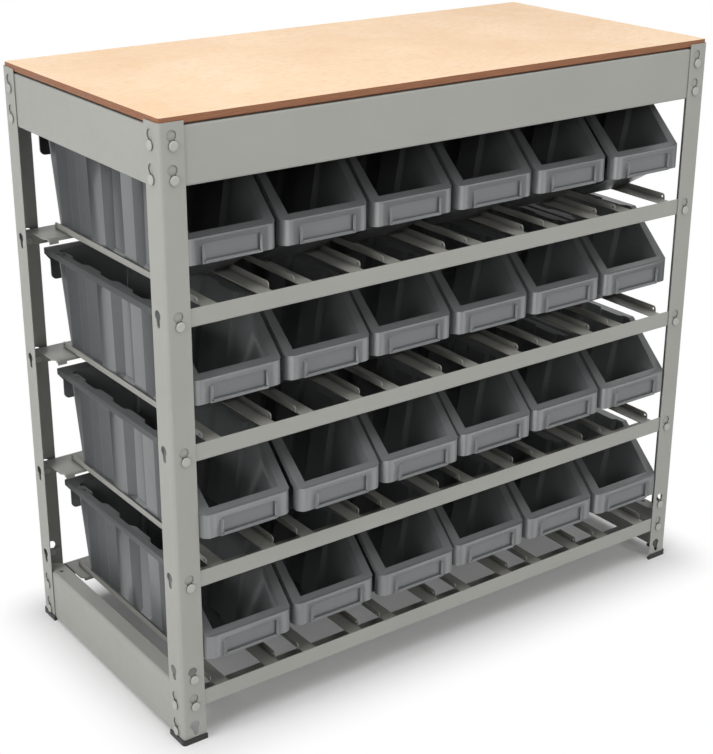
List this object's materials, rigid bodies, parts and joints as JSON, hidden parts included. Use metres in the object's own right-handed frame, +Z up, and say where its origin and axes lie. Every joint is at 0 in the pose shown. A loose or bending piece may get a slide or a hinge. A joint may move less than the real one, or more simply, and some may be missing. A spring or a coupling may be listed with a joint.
{
  "type": "parts bin cabinet",
  "caption": "Open metal rack with a wooden worktop and rows of open-fronted plastic parts bins that slide out on rails.",
  "frame": {"origin": "on the floor, in the middle of the footprint over everything, bins at rest", "axes": "+X along the width to the right as seen from the front, +Y to the rear, +Z up"},
  "size_m": [0.9368, 0.4598, 0.8676],
  "materials": {
    "frame_steel": "light warm grey powder coat, satin",
    "rail_steel": "light grey powder coat, satin",
    "rivet_steel": "light grey coated rivet heads, satin",
    "foot_plastic": "black moulded plastic",
    "bin_plastic": "mid grey moulded plastic, fine grain",
    "worktop_board": "pale wood fibre board, sealed"
  },
  "bodies": {
    "frame": {"post_front_left": "frame_steel", "post_front_right": "frame_steel", "post_rear_left": "frame_steel", "post_rear_right": "frame_steel", "foot_cap_front_left": "foot_plastic", "foot_cap_front_right": "foot_plastic", "foot_cap_rear_left": "foot_plastic", "foot_cap_rear_right": "foot_plastic", "top_beam_front": "frame_steel", "top_beam_rear": "frame_steel", "top_beam_left": "frame_steel", "top_beam_right": "frame_steel", "bottom_beam_left": "frame_steel", "bottom_beam_right": "frame_steel", "row_beam_front_1": "frame_steel", "row_beam_front_2": "frame_steel", "row_beam_front_3": "frame_steel", "row_beam_front_4": "frame_steel", "row_beam_rear_1": "frame_steel", "row_beam_rear_2": "frame_steel", "row_beam_rear_3": "frame_steel", "row_beam_rear_4": "frame_steel", "rails_row_1": "rail_steel", "rails_row_2": "rail_steel", "rails_row_3": "rail_steel", "rails_row_4": "rail_steel", "rivets_front": "rivet_steel", "rivets_rear": "rivet_steel", "rivets_sides": "rivet_steel", "worktop": "worktop_board"},
    "bin_r1_c1": {"bin_r1_c1": "bin_plastic"},
    "bin_r1_c2": {"bin_r1_c2": "bin_plastic"},
    "bin_r1_c3": {"bin_r1_c3": "bin_plastic"},
    "bin_r1_c4": {"bin_r1_c4": "bin_plastic"},
    "bin_r1_c5": {"bin_r1_c5": "bin_plastic"},
    "bin_r1_c6": {"bin_r1_c6": "bin_plastic"},
    "bin_r2_c1": {"bin_r2_c1": "bin_plastic"},
    "bin_r2_c2": {"bin_r2_c2": "bin_plastic"},
    "bin_r2_c3": {"bin_r2_c3": "bin_plastic"},
    "bin_r2_c4": {"bin_r2_c4": "bin_plastic"},
    "bin_r2_c5": {"bin_r2_c5": "bin_plastic"},
    "bin_r2_c6": {"bin_r2_c6": "bin_plastic"},
    "bin_r3_c1": {"bin_r3_c1": "bin_plastic"},
    "bin_r3_c2": {"bin_r3_c2": "bin_plastic"},
    "bin_r3_c3": {"bin_r3_c3": "bin_plastic"},
    "bin_r3_c4": {"bin_r3_c4": "bin_plastic"},
    "bin_r3_c5": {"bin_r3_c5": "bin_plastic"},
    "bin_r3_c6": {"bin_r3_c6": "bin_plastic"},
    "bin_r4_c1": {"bin_r4_c1": "bin_plastic"},
    "bin_r4_c2": {"bin_r4_c2": "bin_plastic"},
    "bin_r4_c3": {"bin_r4_c3": "bin_plastic"},
    "bin_r4_c4": {"bin_r4_c4": "bin_plastic"},
    "bin_r4_c5": {"bin_r4_c5": "bin_plastic"},
    "bin_r4_c6": {"bin_r4_c6": "bin_plastic"}
  },
  "joints": [
    {"name": "bin_r1_c1_slide", "type": "slide", "parent": "frame", "child": "bin_r1_c1", "axis": [0, -1, 0], "range_m": [-0.002, 0.378]},
    {"name": "bin_r1_c2_slide", "type": "slide", "parent": "frame", "child": "bin_r1_c2", "axis": [0, -1, 0], "range_m": [-0.0025, 0.3775]},
    {"name": "bin_r1_c3_slide", "type": "slide", "parent": "frame", "child": "bin_r1_c3", "axis": [0, -1, 0], "range_m": [-0.002, 0.378]},
    {"name": "bin_r1_c4_slide", "type": "slide", "parent": "frame", "child": "bin_r1_c4", "axis": [0, -1, 0], "range_m": [-0.0035, 0.3765]},
    {"name": "bin_r1_c5_slide", "type": "slide", "parent": "frame", "child": "bin_r1_c5", "axis": [0, -1, 0], "range_m": [-0.0045, 0.3755]},
    {"name": "bin_r1_c6_slide", "type": "slide", "parent": "frame", "child": "bin_r1_c6", "axis": [0, -1, 0], "range_m": [-0.012, 0.368]},
    {"name": "bin_r2_c1_slide", "type": "slide", "parent": "frame", "child": "bin_r2_c1", "axis": [0, -1, 0], "range_m": [-0.011, 0.369]},
    {"name": "bin_r2_c2_slide", "type": "slide", "parent": "frame", "child": "bin_r2_c2", "axis": [0, -1, 0], "range_m": [-0.01, 0.37]},
    {"name": "bin_r2_c3_slide", "type": "slide", "parent": "frame", "child": "bin_r2_c3", "axis": [0, -1, 0], "range_m": [-0.006, 0.374]},
    {"name": "bin_r2_c4_slide", "type": "slide", "parent": "frame", "child": "bin_r2_c4", "axis": [0, -1, 0], "range_m": [-0.006, 0.374]},
    {"name": "bin_r2_c5_slide", "type": "slide", "parent": "frame", "child": "bin_r2_c5", "axis": [0, -1, 0], "range_m": [-0.0065, 0.3735]},
    {"name": "bin_r2_c6_slide", "type": "slide", "parent": "frame", "child": "bin_r2_c6", "axis": [0, -1, 0], "range_m": [-0.0065, 0.3735]},
    {"name": "bin_r3_c1_slide", "type": "slide", "parent": "frame", "child": "bin_r3_c1", "axis": [0, -1, 0], "range_m": [-0.0265, 0.3535]},
    {"name": "bin_r3_c2_slide", "type": "slide", "parent": "frame", "child": "bin_r3_c2", "axis": [0, -1, 0], "range_m": [-0.035, 0.345]},
    {"name": "bin_r3_c3_slide", "type": "slide", "parent": "frame", "child": "bin_r3_c3", "axis": [0, -1, 0], "range_m": [-0.031, 0.349]},
    {"name": "bin_r3_c4_slide", "type": "slide", "parent": "frame", "child": "bin_r3_c4", "axis": [0, -1, 0], "range_m": [-0.0255, 0.3545]},
    {"name": "bin_r3_c5_slide", "type": "slide", "parent": "frame", "child": "bin_r3_c5", "axis": [0, -1, 0], "range_m": [-0.021, 0.359]},
    {"name": "bin_r3_c6_slide", "type": "slide", "parent": "frame", "child": "bin_r3_c6", "axis": [0, -1, 0], "range_m": [-0.02, 0.36]},
    {"name": "bin_r4_c1_slide", "type": "slide", "parent": "frame", "child": "bin_r4_c1", "axis": [0, -1, 0], "range_m": [-0.025, 0.355]},
    {"name": "bin_r4_c2_slide", "type": "slide", "parent": "frame", "child": "bin_r4_c2", "axis": [0, -1, 0], "range_m": [-0.022, 0.358]},
    {"name": "bin_r4_c3_slide", "type": "slide", "parent": "frame", "child": "bin_r4_c3", "axis": [0, -1, 0], "range_m": [-0.0275, 0.3525]},
    {"name": "bin_r4_c4_slide", "type": "slide", "parent": "frame", "child": "bin_r4_c4", "axis": [0, -1, 0], "range_m": [-0.021, 0.359]},
    {"name": "bin_r4_c5_slide", "type": "slide", "parent": "frame", "child": "bin_r4_c5", "axis": [0, -1, 0], "range_m": [-0.0205, 0.3595]},
    {"name": "bin_r4_c6_slide", "type": "slide", "parent": "frame", "child": "bin_r4_c6", "axis": [0, -1, 0], "range_m": [-0.021, 0.359]}
  ]
}
